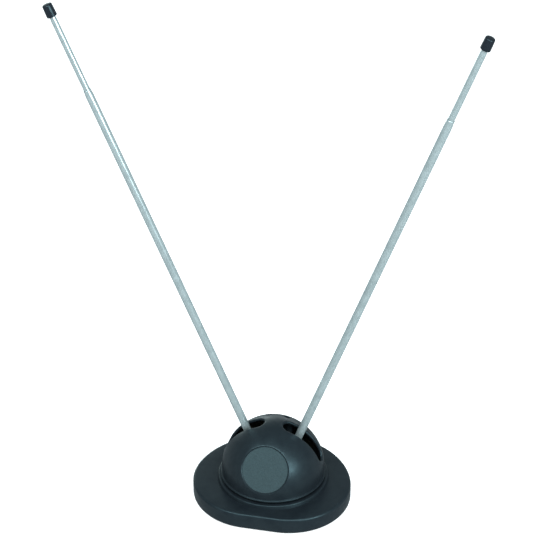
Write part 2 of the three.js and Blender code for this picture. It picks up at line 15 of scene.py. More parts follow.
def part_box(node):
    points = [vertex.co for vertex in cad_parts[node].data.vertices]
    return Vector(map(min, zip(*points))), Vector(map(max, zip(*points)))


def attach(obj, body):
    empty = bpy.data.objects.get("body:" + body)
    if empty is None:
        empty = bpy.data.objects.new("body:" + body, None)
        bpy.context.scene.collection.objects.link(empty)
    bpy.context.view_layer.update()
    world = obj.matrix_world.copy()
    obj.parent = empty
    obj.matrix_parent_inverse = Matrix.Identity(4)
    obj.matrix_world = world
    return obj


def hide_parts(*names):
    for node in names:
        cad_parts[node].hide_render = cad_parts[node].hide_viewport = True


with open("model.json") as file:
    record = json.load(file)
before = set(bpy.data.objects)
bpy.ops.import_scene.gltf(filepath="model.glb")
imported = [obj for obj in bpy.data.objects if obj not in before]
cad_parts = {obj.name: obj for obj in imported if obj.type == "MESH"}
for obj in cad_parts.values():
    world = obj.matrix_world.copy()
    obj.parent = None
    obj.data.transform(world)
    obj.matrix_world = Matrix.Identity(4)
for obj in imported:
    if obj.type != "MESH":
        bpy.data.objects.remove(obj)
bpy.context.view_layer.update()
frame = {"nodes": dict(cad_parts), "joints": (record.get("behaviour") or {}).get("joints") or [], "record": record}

MM = 0.001

# Edges that turn more than this stay crisp when a mesh is shaded smooth.
CRISP_EDGE = 32
DOME_CRISP_EDGE = 40
BADGE_CRISP_EDGE = 50
NUT_CRISP_EDGE = 25

# ---- Places and sizes ----
# What the frame's boxes show is read from them. The rest are the part's own dimensions.

base_low, base_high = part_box("base_shell")
dome_low, dome_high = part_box("dome")
disc_low, disc_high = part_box("badge_disc")
BEAD_RADIUS = (dome_high[0] - dome_low[0]) / 2
BEAD_PROUD = 1 * MM
DOME_RADIUS = BEAD_RADIUS - BEAD_PROUD
DOME_CENTRE = Vector((0, 0, dome_high[2] - DOME_RADIUS))

DOME_WALL = 2.2 * MM
LIP_DROP = 5.9 * MM
BEAD_HEIGHT = 1.6 * MM
NECK_RADIUS = 43.5 * MM

# Slots and screw ways in the dome. Angles are about the dome's centre, from straight up.
SLOT_HALF_WIDTH = 6.5 * MM
SLOT_START = radians(10.9)
SLOT_END = radians(75.5)
SLOT_RIM_ROUND = 1.6 * MM
SCREW_RIM_ROUND = 1.1 * MM
SCREW_WAY = 2.7 * MM
SCREW_SHANK_WAY = 1.7 * MM
SCREW_SHANK_LENGTH = 16 * MM
SCREW_BOSS = 4.4 * MM
SCREW_BOSS_DEPTH = 8 * MM

# Base: a round back of radius BASE_ROUND, two side arcs and a flat front.
BASE_ROUND = 70.1 * MM
BASE_CENTRE_Y = base_high[1] - BASE_ROUND
FRONT_Y = base_low[1]
FRONT_HALF = 15.1 * MM
BASE_EDGE = 2.4 * MM
BASE_WALL = 2.5 * MM
PLATE_TOP = 16.3 * MM
COLLAR_TOP = base_high[2]
COLLAR_RADIUS = 48 * MM
COLLAR_FLARE = 0.9 * MM
COLLAR_EDGE = 1 * MM
COLLAR_BORE = 43.9 * MM
LEDGE_Z = 17 * MM
THROAT_RADIUS = 41 * MM

# Badge: a disc in a seat. BADGE_FACE is its distance from the dome's centre.
BADGE_RADIUS = (disc_high[0] - disc_low[0]) / 2
BADGE_TILT = radians(30.2)
BADGE_FACE = 39.1 * MM
BADGE_THICKNESS = 0.8 * MM
SEAT_DEPTH = 1 * MM
SEAT_GAP = 0.07 * MM
SEAT_CHAMFER = 0.95 * MM
BADGE_AXIS = Vector((0, -cos(BADGE_TILT), sin(BADGE_TILT)))

TUBE_WALL = 0.35 * MM
PIN_RADIUS = 1.8 * MM
PIN_HEAD_HEIGHT = 1.8 * MM


def joint(name):
    return next(j for j in frame["joints"] if j["name"] == name)


# ---- Mesh building ----

class Solid:
    """Points and faces of one piece, grown ring by ring."""

    def __init__(self):
        self.points = []
        self.faces = []

    def ring(self, points):
        start = len(self.points)
        self.points.extend(Vector(p) for p in points)
        return list(range(start, len(self.points)))

    def bridge(self, one, two):
        """Joins two closed rings of equal length with quads."""
        count = len(one)
        for i in range(count):
            j = (i + 1) % count
            self.faces.append((one[i], one[j], two[j], two[i]))

    def bridge_all(self, rings):
        for one, two in zip(rings, rings[1:]):
            self.bridge(one, two)

    def fan(self, ring, tip):
        """Closes a ring with triangles to one point."""
        self.points.append(Vector(tip))
        last = len(self.points) - 1
        for i, corner in enumerate(ring):
            self.faces.append((corner, ring[(i + 1) % len(ring)], last))

    def fill(self, flatten, outer, holes=(), spare=()):
        """Triangulates inside ring outer and outside the rings in holes, through the spare points."""
        outlines = [outer, *holes]
        used = [i for ring in outlines for i in ring] + self.ring(spare)
        flat = [Vector(flatten(self.points[i])) for i in used]
        edges = []
        polygons = []
        for ring in outlines:
            start = len(edges)
            count = len(ring)
            edges += [(start + i, start + (i + 1) % count) for i in range(count)]
            polygons.append(flat[start:start + count])
        points, _, triangles, origins, _, _ = delaunay_2d_cdt(flat, edges, [], 0, 1e-7)
        for triangle in triangles:
            middle = sum((points[i] for i in triangle), Vector((0, 0))) / 3
            if inside(middle, polygons[0]) and not any(inside(middle, hole) for hole in polygons[1:]):
                self.faces.append(tuple(used[origins[i][0]] for i in triangle))

    def object(self, name):
        """The solid as an object of the scene, without loose points and with its faces turned outwards."""
        mesh = bpy.data.meshes.new(name)
        mesh.from_pydata([tuple(p) for p in self.points], [], self.faces)
        tidy = bmesh.new()
        tidy.from_mesh(mesh)
        loose = [v for v in tidy.verts if not v.link_faces]
        bmesh.ops.delete(tidy, geom=loose, context="VERTS")
        bmesh.ops.recalc_face_normals(tidy, faces=tidy.faces)
        tidy.to_mesh(mesh)
        tidy.free()
        obj = bpy.data.objects.new(name, mesh)
        bpy.context.scene.collection.objects.link(obj)
        return obj

    def piece(self, name, material, crisp=CRISP_EDGE):
        """The solid as a shaded object of one material."""
        obj = self.object(name)
        shade(obj.data, crisp)
        obj.data.materials.append(materials[material])
        return obj


def shade(mesh, crisp=CRISP_EDGE):
    mesh.shade_smooth()
    mesh.set_sharp_from_angle(angle=radians(crisp))


def flat_xy(point):
    return (point.x, point.y)


def inside(point, polygon):
    """True if a flat point lies inside a closed polygon."""
    x, y = point
    hit = False
    before = polygon[-1]
    for after in polygon:
        if (after.y > y) != (before.y > y):
            if x < (before.x - after.x) * (y - after.y) / (before.y - after.y) + after.x:
                hit = not hit
        before = after
    return hit


def circle(radius, z, count, centre=(0, 0)):
    turns = (2 * pi * i / count for i in range(count))
    return [(centre[0] + radius * cos(a), centre[1] + radius * sin(a), z) for a in turns]


def turned(profile, count=64):
    """A solid turned about Z from a profile of (radius, z). Ends on the axis, or closes on itself."""
    body = Solid()
    rings = [body.ring(circle(r, z, count)) for r, z in profile if r > 0]
    body.bridge_all(rings)
    if profile[0][0] == 0 and profile[-1][0] == 0:
        body.fan(rings[0], (0, 0, profile[0][1]))
        body.fan(rings[-1], (0, 0, profile[-1][1]))
    else:
        body.bridge(rings[-1], rings[0])
    return body


def rounded(corner, start, end, radius, steps=4):
    """Profile points round a corner, coming from start and leaving for end."""
    corner, start, end = Vector(corner), Vector(start), Vector(end)
    back = (start - corner).normalized()
    ahead = (end - corner).normalized()
    half = acos(max(-1, min(1, back.dot(ahead)))) / 2
    reach = radius / tan(half)
    centre = corner + (back + ahead).normalized() * radius / sin(half)
    first = corner + back * reach - centre
    last = corner + ahead * reach - centre
    spokes = [first.lerp(last, i / steps).normalized() for i in range(steps + 1)]
    return [tuple(centre + spoke * radius) for spoke in spokes]


def smooth_profile(corners):
    """A profile from (radius, z, rounding) corners. The first and last are never rounded."""
    points = []
    for i, (r, z, rounding) in enumerate(corners):
        if rounding == 0 or i in (0, len(corners) - 1):
            points.append((r, z))
            continue
        before = corners[i - 1][:2]
        after = corners[i + 1][:2]
        points += rounded((r, z), before, after, rounding)
    return points


def change_by(obj, tools, operation="DIFFERENCE"):
    """Takes the tools out of obj, or joins them to it, and deletes them."""
    for tool in tools:
        modifier = obj.modifiers.new(operation.lower(), "BOOLEAN")
        modifier.operation = operation
        modifier.solver = "EXACT"
        modifier.object = tool
    graph = bpy.context.evaluated_depsgraph_get()
    mesh = bpy.data.meshes.new_from_object(obj.evaluated_get(graph))
    obj.modifiers.clear()
    obj.data = mesh
    for tool in tools:
        bpy.data.objects.remove(tool)
    shade(mesh)


def block(low, high):
    """A plain box, used only to cut."""
    flat = ((low[0], low[1]), (high[0], low[1]), (high[0], high[1]), (low[0], high[1]))
    body = Solid()
    rings = [body.ring((x, y, z) for x, y in flat) for z in (low[2], high[2])]
    body.bridge(*rings)
    body.faces += [tuple(ring) for ring in rings]
    return body.object("block")


def settle(obj, rides, node):
    """Attaches a finished piece to the body it moves with and hides the CAD node it stands for."""
    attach(obj, rides)
    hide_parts(node)


# ---- Materials ----

NOISE_SPAN = (0.3, 0.7)


class Shader:
    """A node material under construction, in the piece's own coordinates."""

    def __init__(self, name, colour, roughness, metallic=0.0):
        self.material = bpy.data.materials.new(name)
        self.material.use_nodes = True
        self.tree = self.material.node_tree
        self.bsdf = self.tree.nodes["Principled BSDF"]
        self.bsdf.inputs["Base Color"].default_value = (*colour, 1)
        self.bsdf.inputs["Roughness"].default_value = roughness
        self.bsdf.inputs["Metallic"].default_value = metallic
        self.place = self.node("ShaderNodeTexCoord").outputs["Object"]

    def node(self, kind, **settings):
        made = self.tree.nodes.new(kind)
        for key, value in settings.items():
            setattr(made, key, value)
        return made

    def link(self, source, target):
        self.tree.links.new(source, target)

    def stretched(self, scale):
        mapping = self.node("ShaderNodeMapping")
        mapping.inputs["Scale"].default_value = scale
        self.link(self.place, mapping.inputs["Vector"])
        return mapping.outputs["Vector"]

    def noise(self, size, detail=3, scale=(1, 1, 1), roughness=0.5):
        """Noise whose features are about size metres across."""
        texture = self.node("ShaderNodeTexNoise")
        texture.inputs["Scale"].default_value = 1 / size
        texture.inputs["Detail"].default_value = detail
        texture.inputs["Roughness"].default_value = roughness
        self.link(self.stretched(scale), texture.inputs["Vector"])
        return texture.outputs["Fac"]

    def cells(self, size):
        texture = self.node("ShaderNodeTexVoronoi")
        texture.inputs["Scale"].default_value = 1 / size
        self.link(self.place, texture.inputs["Vector"])
        return texture.outputs["Distance"]

    def colour(self, value, low, high):
        """Blends two base colours by a noise, whose values lie mostly in NOISE_SPAN."""
        ramp = self.node("ShaderNodeValToRGB")
        for element, position, shade_of in zip(ramp.color_ramp.elements, NOISE_SPAN, (low, high)):
            element.position = position
            element.color = (*shade_of, 1)
        self.link(value, ramp.inputs["Fac"])
        self.link(ramp.outputs["Color"], self.bsdf.inputs["Base Color"])

    def roughness(self, value, low, high):
        """Varies the roughness between two values by a noise."""
        spread = self.node("ShaderNodeMapRange")
        for key, number in zip(("From Min", "From Max", "To Min", "To Max"), (*NOISE_SPAN, low, high)):
            spread.inputs[key].default_value = number
        self.link(value, spread.inputs["Value"])
        self.link(spread.outputs["Result"], self.bsdf.inputs["Roughness"])

    def bumps(self, layers):
        """Stacks bump layers, each (height, depth in metres, strength)."""
        normal = None
        for height, depth, strength in layers:
            bump = self.node("ShaderNodeBump")
            bump.inputs["Strength"].default_value = strength
            bump.inputs["Distance"].default_value = depth
            self.link(height, bump.inputs["Height"])
            if normal is not None:
                self.link(normal, bump.inputs["Normal"])
            normal = bump.outputs["Normal"]
        self.link(normal, self.bsdf.inputs["Normal"])


def moulded_plastic(name, dark, light, roughness, grain, depth):
    """Injection-moulded plastic: a fine spark-eroded grain, faint mottling and uneven gloss."""
    shader = Shader(name, dark, roughness)
    shader.bsdf.inputs["Specular Tint"].default_value = (0.62, 0.92, 1, 1)
    shader.bsdf.inputs["Specular IOR Level"].default_value = 0.36
    shader.colour(shader.noise(9 * MM, 4), dark, light)
    shader.roughness(shader.noise(5 * MM, 5), roughness - 0.05, roughness + 0.07)
    shader.bumps([
        (shader.noise(grain, 2), depth, 0.5),
        (shader.noise(14 * MM, 1), 0.05 * MM, 0.25),
    ])
    return shader.material


def badge_plastic():
    """A matte teal-grey disc with a coarse pebbled surface."""
    shader = Shader("badge_plastic", (0.05, 0.07, 0.08), 0.6)
    speckle = shader.noise(1.1 * MM, 4, roughness=0.65)
    shader.colour(speckle, (0.011, 0.027, 0.032), (0.021, 0.045, 0.052))
    shader.roughness(shader.noise(2 * MM, 3), 0.55, 0.72)
    shader.bumps([(shader.noise(0.9 * MM, 3), 0.12 * MM, 0.6), (shader.cells(0.6 * MM), 0.05 * MM, 0.4)])
    return shader.material


def plated_tube():
    """Bright plating over drawn tube: lengthways draw lines, a slight haze and fine specks."""
    shader = Shader("plated_tube", (0.5, 0.54, 0.55), 0.24, 0.68)
    drawn = shader.noise(0.35 * MM, 3, scale=(1, 1, 0.01))
    haze = shader.noise(6 * MM, 4)
    shader.colour(haze, (0.47, 0.54, 0.55), (0.57, 0.64, 0.65))
    shader.roughness(shader.noise(3 * MM, 5, scale=(1, 1, 0.15)), 0.16, 0.27)
    shader.bumps([(drawn, 0.01 * MM, 0.35), (shader.noise(0.5 * MM, 2), 0.004 * MM, 0.3)])
    return shader.material


def worn_metal(name, dark, light, roughness):
    """Plain metal with slight blotches and fine scratches."""
    shader = Shader(name, light, roughness, 1.0)
    shader.colour(shader.noise(4 * MM, 4), dark, light)
    shader.roughness(shader.noise(2 * MM, 4), roughness - 0.08, roughness + 0.12)
    shader.bumps([(shader.noise(0.3 * MM, 3, scale=(1, 0.08, 1)), 0.01 * MM, 0.4)])
    return shader.material


def rubber():
    """Matte black rubber with a fine tooth."""
    shader = Shader("rubber", (0.012, 0.012, 0.013), 0.85)
    shader.colour(shader.noise(3 * MM, 5), (0.01, 0.01, 0.011), (0.022, 0.022, 0.024))
    shader.roughness(shader.noise(2 * MM, 3), 0.78, 0.92)
    shader.bumps([(shader.noise(0.5 * MM, 3), 0.06 * MM, 0.6)])
    return shader.material


def resin_board():
    """Resin-bonded paper board with a faint weave of fibres."""
    shader = Shader("resin_board", (0.4, 0.26, 0.09), 0.55)
    shader.colour(shader.noise(1.5 * MM, 5, scale=(1, 0.2, 1)), (0.33, 0.2, 0.07), (0.47, 0.32, 0.13))
    shader.roughness(shader.noise(2 * MM, 3), 0.45, 0.65)
    shader.bumps([(shader.noise(0.4 * MM, 2, scale=(1, 0.2, 1)), 0.02 * MM, 0.4)])
    return shader.material


def ferrite():
    """Fired ferrite: dark, slightly speckled ceramic."""
    shader = Shader("ferrite", (0.035, 0.034, 0.036), 0.5)
    shader.colour(shader.noise(0.6 * MM, 5), (0.025, 0.024, 0.026), (0.05, 0.048, 0.05))
    shader.roughness(shader.noise(1 * MM, 3), 0.4, 0.6)
    shader.bumps([(shader.noise(0.3 * MM, 3), 0.02 * MM, 0.5)])
    return shader.material


PLASTICS = {
    # name: darkest and lightest colour, roughness, width and depth of the grain
    "black_plastic": ((0.008, 0.0105, 0.014), (0.0115, 0.015, 0.0185), 0.34, 0.45 * MM, 0.03 * MM),
    "dome_plastic": ((0.008, 0.0105, 0.014), (0.0115, 0.015, 0.0185), 0.36, 0.35 * MM, 0.02 * MM),
    "cap_plastic": ((0.007, 0.008, 0.012), (0.011, 0.013, 0.018), 0.3, 0.3 * MM, 0.01 * MM),
    "frame_plastic": ((0.01, 0.01, 0.012), (0.016, 0.016, 0.018), 0.5, 0.5 * MM, 0.03 * MM),
}
METALS = {
    # name: darkest and lightest colour, roughness
    "plated_steel": ((0.5, 0.51, 0.52), (0.66, 0.67, 0.68), 0.3),
    "ballast_steel": ((0.2, 0.2, 0.21), (0.36, 0.36, 0.37), 0.5),
    "brass": ((0.58, 0.42, 0.18), (0.74, 0.57, 0.29), 0.32),
    "copper": ((0.5, 0.2, 0.08), (0.66, 0.3, 0.14), 0.3),
}

# By the names of the record's material slots.
materials = {
    "badge_plastic": badge_plastic(),
    "rubber": rubber(),
    "tube_metal": plated_tube(),
    "board": resin_board(),
    "ferrite": ferrite(),
}
materials.update({name: moulded_plastic(name, *look) for name, look in PLASTICS.items()})
materials.update({name: worn_metal(name, *look) for name, look in METALS.items()})


# ---- Base ----

ARC_STEPS = (36, 96, 36)
FLAT_STEPS = 16


def base_outline(inset, z):
    """Points round the base, the same number whatever the inset: flat front, side arcs and round back."""
    drop = FRONT_Y - BASE_CENTRE_Y
    side = (BASE_ROUND ** 2 - FRONT_HALF ** 2 - drop ** 2) / (2 * (BASE_ROUND + drop))
    side_y = FRONT_Y + side
    join = atan2(side_y - BASE_CENTRE_Y, FRONT_HALF)
    arcs = (
        ((FRONT_HALF, side_y), side, -pi / 2, join),
        ((0, BASE_CENTRE_Y), BASE_ROUND, join, pi - join),
        ((-FRONT_HALF, side_y), side, pi - join, 3 * pi / 2),
    )
    points = [(-FRONT_HALF + 2 * FRONT_HALF * i / FLAT_STEPS, FRONT_Y + inset, z) for i in range(FLAT_STEPS)]
    for ((x, y), radius, start, end), steps in zip(arcs, ARC_STEPS):
        reach = radius - inset
        for i in range(steps):
            angle = start + (end - start) * i / steps
            points.append((x + reach * cos(angle), y + reach * sin(angle), z))
    return points


def base_circle(radius, z):
    """A circle about the dome's axis whose points face those of the base's outline."""
    angles = [atan2(y, x) for x, y, _ in base_outline(0, 0)]
    return [(radius * cos(a), radius * sin(a), z) for a in angles]


def edge_rings(body, z_edge, turn, steps=6):
    """Rings round one rounded edge of the base. turn is 1 for the top edge and -1 for the bottom."""
    rings = []
    for i in range(steps + 1):
        angle = pi / 2 * i / steps
        inset = BASE_EDGE * (1 - cos(angle))
        z = z_edge - turn * BASE_EDGE * (1 - sin(angle))
        rings.append(body.ring(base_outline(inset, z)))
    return rings


def make_base():
    body = Solid()
    ceiling = PLATE_TOP - BASE_WALL
    bottom_edge = edge_rings(body, base_low[2], -1)
    top_edge = edge_rings(body, PLATE_TOP, 1)
    collar = smooth_profile([
        (COLLAR_RADIUS + 5 * MM, PLATE_TOP, 0),
        (COLLAR_RADIUS + COLLAR_FLARE, PLATE_TOP, 0),
        (COLLAR_RADIUS, COLLAR_TOP, COLLAR_EDGE),
        (COLLAR_BORE, COLLAR_TOP, 0.4 * MM),
        (COLLAR_BORE, LEDGE_Z, 0),
        (THROAT_RADIUS, LEDGE_Z, 0.3 * MM),
        (THROAT_RADIUS, ceiling, 0.3 * MM),
        (THROAT_RADIUS + 4 * MM, ceiling, 0),
    ])
    collar_rings = [body.ring(base_circle(r, z)) for r, z in collar]
    inner = [
        body.ring(base_outline(BASE_WALL + 1 * MM, ceiling)),
        body.ring(base_outline(BASE_WALL, ceiling - 1 * MM)),
        body.ring(base_outline(BASE_WALL, base_low[2])),
    ]
    body.bridge_all([*reversed(bottom_edge), *top_edge, *collar_rings, *inner, bottom_edge[-1]])
    obj = body.piece("base_body", "black_plastic")
    flange = Vector((0.9, -1, 0.9)) * MM
    low, high = (Vector(corner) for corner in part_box("lead_grommet"))
    change_by(obj, [block(low + flange, high - flange)])
    settle(obj, "base", "base_shell")


# ---- Dome ----

def on_sphere(radius, x, y):
    """The point of the dome's sphere of that radius straight above (x, y)."""
    return (x, y, DOME_CENTRE.z + sqrt(max(0, radius ** 2 - x ** 2 - y ** 2)))


def slot_outline(start, end, width):
    """(along, across) points round an oblong whose ends are half-round."""
    steps, end_steps = 30, 20
    turns = [pi * i / end_steps for i in range(end_steps)]
    straight = [(end - start) * i / steps for i in range(steps)]
    near_side = [(start + along, -width) for along in straight]
    far_end = [(end + width * sin(a), -width * cos(a)) for a in turns]
    far_side = [(end - along, width) for along in straight]
    near_end = [(start - width * sin(a), width * cos(a)) for a in turns]
    return near_side + far_end + far_side + near_end


def slot_ring(side, offset, depth):
    """The slot's outline, grown by offset, on the sphere that lies depth below the dome's surface."""
    ear_plane = joint("left_swing")["pos_m"][1]
    start = SLOT_START * DOME_RADIUS + SLOT_HALF_WIDTH
    end = SLOT_END * DOME_RADIUS - SLOT_HALF_WIDTH
    points = []
    for along, across in slot_outline(start, end, SLOT_HALF_WIDTH + offset):
        y = ear_plane + across
        reach = sqrt((DOME_RADIUS - depth) ** 2 - y ** 2)
        angle = along / DOME_RADIUS
        points.append((side * reach * sin(angle), y, DOME_CENTRE.z + reach * cos(angle)))
    return points


def rounding_steps(radius, steps=4):
    """(outward offset, depth) pairs round an edge, from the surface to the wall."""
    angles = [pi / 2 * i / steps for i in range(steps + 1)]
    return [(radius * (1 - sin(a)), radius * (1 - cos(a))) for a in angles]


def add_slot(body, side):
    """The rounded walls of one slot. Returns its rings on the outer and inner surface."""
    inner_steps = rounding_steps(0.3 * MM, 2)
    outer_edge = [slot_ring(side, *step) for step in rounding_steps(SLOT_RIM_ROUND, 7)]
    inner_edge = [slot_ring(side, offset, DOME_WALL - depth) for offset, depth in inner_steps]
    rings = [body.ring(points) for points in [*outer_edge, *reversed(inner_edge)]]
    body.bridge_all(rings)
    return rings[0], rings[-1]


def add_screw_way(body, name):
    """The hole for a dome screw, the seat for its head and the boss round it."""
    low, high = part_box(name)
    centre = ((low[0] + high[0]) / 2, (low[1] + high[1]) / 2)
    seat = low[2] + SCREW_SHANK_LENGTH - 0.1 * MM
    boss_bottom = seat - SCREW_BOSS_DEPTH
    count = 32
    rings = []
    for offset, depth in rounding_steps(SCREW_RIM_ROUND):
        flat = circle(SCREW_WAY + offset, 0, count, centre)
        rings.append(body.ring(on_sphere(DOME_RADIUS - depth, x, y) for x, y, _ in flat))
    for radius, z in (
        (SCREW_WAY, seat),
        (SCREW_SHANK_WAY, seat),
        (SCREW_SHANK_WAY, boss_bottom),
        (SCREW_BOSS, boss_bottom),
    ):
        rings.append(body.ring(circle(radius, z, count, centre)))
    flat = circle(SCREW_BOSS, 0, count, centre)
    rings.append(body.ring(on_sphere(DOME_RADIUS - DOME_WALL, x, y) for x, y, _ in flat))
    body.bridge_all(rings)
    return rings[0], rings[-1]


def badge_circle(radius, distance, count=96):
    """A circle about the badge's axis, at a distance from the dome's centre."""
    across = Vector((1, 0, 0))
    up = BADGE_AXIS.cross(across)
    turns = (2 * pi * i / count for i in range(count))
    return [DOME_CENTRE + BADGE_AXIS * distance + (across * cos(a) + up * sin(a)) * radius for a in turns]


def flat_floor(body, distance):
    """Rings and a middle point that close a flat floor across the badge's axis. Returns the rings."""
    rings = [body.ring(badge_circle(radius, distance)) for radius in (14 * MM, 7 * MM)]
    body.fan(rings[-1], DOME_CENTRE + BADGE_AXIS * distance)
    return rings


def add_badge_seat(body):
    """The chamfered seat for the badge outside and the flat wall behind it inside."""
    seat_radius = BADGE_RADIUS + SEAT_GAP
    rim_radius = seat_radius + SEAT_CHAMFER
    soft = 0.12 * MM
    lip_radius = rim_radius + soft
    floor = BADGE_FACE - SEAT_DEPTH
    rings = [body.ring(badge_circle(radius, distance)) for radius, distance in (
        (lip_radius, sqrt(DOME_RADIUS ** 2 - lip_radius ** 2)),
        (rim_radius, sqrt(DOME_RADIUS ** 2 - rim_radius ** 2) - 0.3 * soft),
        (seat_radius + soft, BADGE_FACE + 0.4 * soft),
        (seat_radius, BADGE_FACE - 0.3 * soft),
        (seat_radius, floor),
    )]
    body.bridge_all([*rings, *flat_floor(body, floor)])
    back = floor - DOME_WALL
    inner = body.ring(badge_circle(sqrt((DOME_RADIUS - DOME_WALL) ** 2 - back ** 2), back))
    body.bridge_all([inner, *flat_floor(body, back)])
    return rings[0], inner


def from_above(point):
    """A point of the dome, flattened so that its distance from the middle is its angle from the top."""
    direction = (point - DOME_CENTRE).normalized()
    angle = acos(max(-1, min(1, direction.z)))
    around = atan2(direction.y, direction.x)
    return (angle * cos(around), angle * sin(around))


def sphere_grid(radius, spacing, rings):
    """Points of the hemisphere on circles about Z, left out where they fall in or near one of the rings."""
    outlines = [[Vector(from_above(Vector(p))) for p in ring] for ring in rings]
    margin = 0.6 * spacing / radius
    points = []
    rows = round(pi / 2 * radius / spacing)
    for row in range(rows):
        angle = pi / 2 * row / rows
        count = max(1, round(2 * pi * sin(angle) * radius / spacing))
        for i in range(count):
            around = 2 * pi * (i + 0.5 * (row % 2)) / count
            heading = Vector((cos(around), sin(around), 0))
            flat = (heading * angle).xy
            if any(inside(flat, line) or min((flat - p).length for p in line) < margin for line in outlines):
                continue
            points.append(DOME_CENTRE + radius * (sin(angle) * heading + cos(angle) * Vector((0, 0, 1))))
    return points


def add_skirt(body, count):
    """The straight skirt, bead and neck below the hemisphere. Returns its outer and inner top rings.

    The inner ring lies just below the equator, because the flat wall behind the badge reaches past it.
    """
    z = DOME_CENTRE.z
    lip = z - LIP_DROP
    inner_radius = DOME_RADIUS - DOME_WALL
    neck_inner = NECK_RADIUS - DOME_WALL
    bead_top = lip + BEAD_HEIGHT
    profile = smooth_profile([
        (DOME_RADIUS, z, 0),
        (DOME_RADIUS, bead_top, 0.3 * MM),
        (BEAD_RADIUS, bead_top, 0.8 * MM),
        (BEAD_RADIUS, lip, 0.4 * MM),
        (NECK_RADIUS, lip, 0),
        (NECK_RADIUS, dome_low[2], 0.4 * MM),
        (neck_inner, dome_low[2], 0.4 * MM),
        (neck_inner, lip, 0),
        (inner_radius, lip + 1.5 * MM, 0),
        (inner_radius, z - 3 * MM, 0),
    ])
    rings = [body.ring(circle(r, height, count)) for r, height in profile]
    body.bridge_all(rings)
    return rings[0], rings[-1]


def make_dome():
    body = Solid()
    outer_edge, inner_edge = add_skirt(body, 224)
    openings = [add_slot(body, side) for side in (-1, 1)]
    openings += [add_screw_way(body, name) for name in ("dome_screw_left", "dome_screw_right")]
    openings.append(add_badge_seat(body))
    for edge, layer, radius, spacing in (
        (outer_edge, 0, DOME_RADIUS, 1.6 * MM),
        (inner_edge, 1, DOME_RADIUS - DOME_WALL, 3 * MM),
    ):
        holes = [rings[layer] for rings in openings]
        grid = sphere_grid(radius, spacing, [[body.points[i] for i in ring] for ring in holes])
        body.fill(from_above, edge, holes, grid)
    obj = body.piece("dome_shell", "dome_plastic", DOME_CRISP_EDGE)
    settle(obj, "base", "dome")


def make_badge():
    """A disc with a softly broken edge and a pebbled face, deep enough to catch the light."""
    body = Solid()
    back = BADGE_FACE - BADGE_THICKNESS
    count = 160
    bevel = 0.15 * MM
    edge = [
        (BADGE_RADIUS, back),
        (BADGE_RADIUS, BADGE_FACE - bevel),
        (BADGE_RADIUS - bevel, BADGE_FACE),
    ]
    rings = [body.ring(badge_circle(radius, distance, count)) for radius, distance in edge]
    face_rings = 44
    for i in range(1, face_rings):
        radius = (BADGE_RADIUS - bevel) * (1 - i / face_rings)
        points = []
        for point in badge_circle(radius, BADGE_FACE, count):
            grain = noise.noise(point / (1.3 * MM)) + 0.5 * noise.noise(point / (0.6 * MM))
            points.append(point - BADGE_AXIS * (0.05 * MM + 0.035 * MM * grain))
        rings.append(body.ring(points))
    body.bridge_all(rings)
    body.fan(rings[-1], DOME_CENTRE + BADGE_AXIS * (BADGE_FACE - 0.05 * MM))
    body.fan(rings[0], DOME_CENTRE + BADGE_AXIS * back)
    obj = body.piece("badge_face", "badge_plastic", BADGE_CRISP_EDGE)
    settle(obj, "base", "badge_disc")


# ---- Ears ----

def span(node, pivot, axis):
    """(start, end, greatest radius) of a node along an ear's axis, from its pivot."""
    along = []
    radii = []
    for vertex in frame["nodes"][node].data.vertices:
        reach = vertex.co - pivot
        height = reach.dot(axis)
        along.append(height)
        radii.append((reach - axis * height).length)
    return min(along), max(along), max(radii)


def lay_along(obj, pivot, axis):
    """Turns a piece drawn about Z so that Z lies along an ear and Y stays along Y."""
    along_y = Vector((0, 1, 0))
    turn = Matrix((along_y.cross(axis), along_y, axis)).transposed()
    obj.matrix_world = Matrix.Translation(pivot) @ turn.to_4x4()


def tube_profile(start, end, radius, taper, mouth):
    """A tube with a swaged far end: an S-shaped shoulder, a short straight lip and a rounded rim."""
    wall = TUBE_WALL
    lip = 1.4 * MM
    rim_start = end - 0.15 * MM
    shoulder = []
    inner_shoulder = []
    steps = 10
    for i in range(steps + 1):
        t = i / steps
        ease = (1 - cos(pi * t)) / 2
        z = end - lip - taper * (1 - t)
        shoulder.append((radius + (mouth + wall - radius) * ease, z))
        inner_shoulder.append((radius - wall + (mouth - radius + wall) * ease, z))
    rim = [
        (mouth + wall, rim_start),
        (mouth + wall * 0.7, end),
        (mouth + wall * 0.3, end),
        (mouth, rim_start),
    ]
    foot = [(radius - wall, start), (radius, start)]
    straight = [(radius, start + (end - start - taper - lip) * i / 12) for i in range(1, 12)]
    return foot + straight + shoulder + rim + list(reversed(inner_shoulder))


def plain_tube_profile(start, end, radius):
    """A plain tube with both rims lightly broken."""
    rim = 0.1 * MM
    steps = 12
    side = [(radius, start + rim + (end - start - 2 * rim) * i / steps) for i in range(steps + 1)]
    bore = radius - TUBE_WALL
    near_rim = [(bore, start + rim), (bore + rim, start), (radius - rim, start)]
    far_rim = [(radius - rim, end), (bore + rim, end), (bore, end - rim)]
    return near_rim + side + far_rim


def cap_profile(start, end, radius, bore):
    """A cap that narrows a little upwards, with a rounded shoulder and a slightly domed top."""
    top_radius = radius * 0.94
    corners = [
        (bore, start, 0),
        (radius, start, 0.35 * MM),
        (top_radius, end - 0.4 * MM, 1.2 * MM),
        (1.2 * MM, end, 0),
    ]
    inner_top = end - 1.6 * MM
    return [(0, inner_top), (bore, inner_top)] + smooth_profile(corners) + [(0, end)]


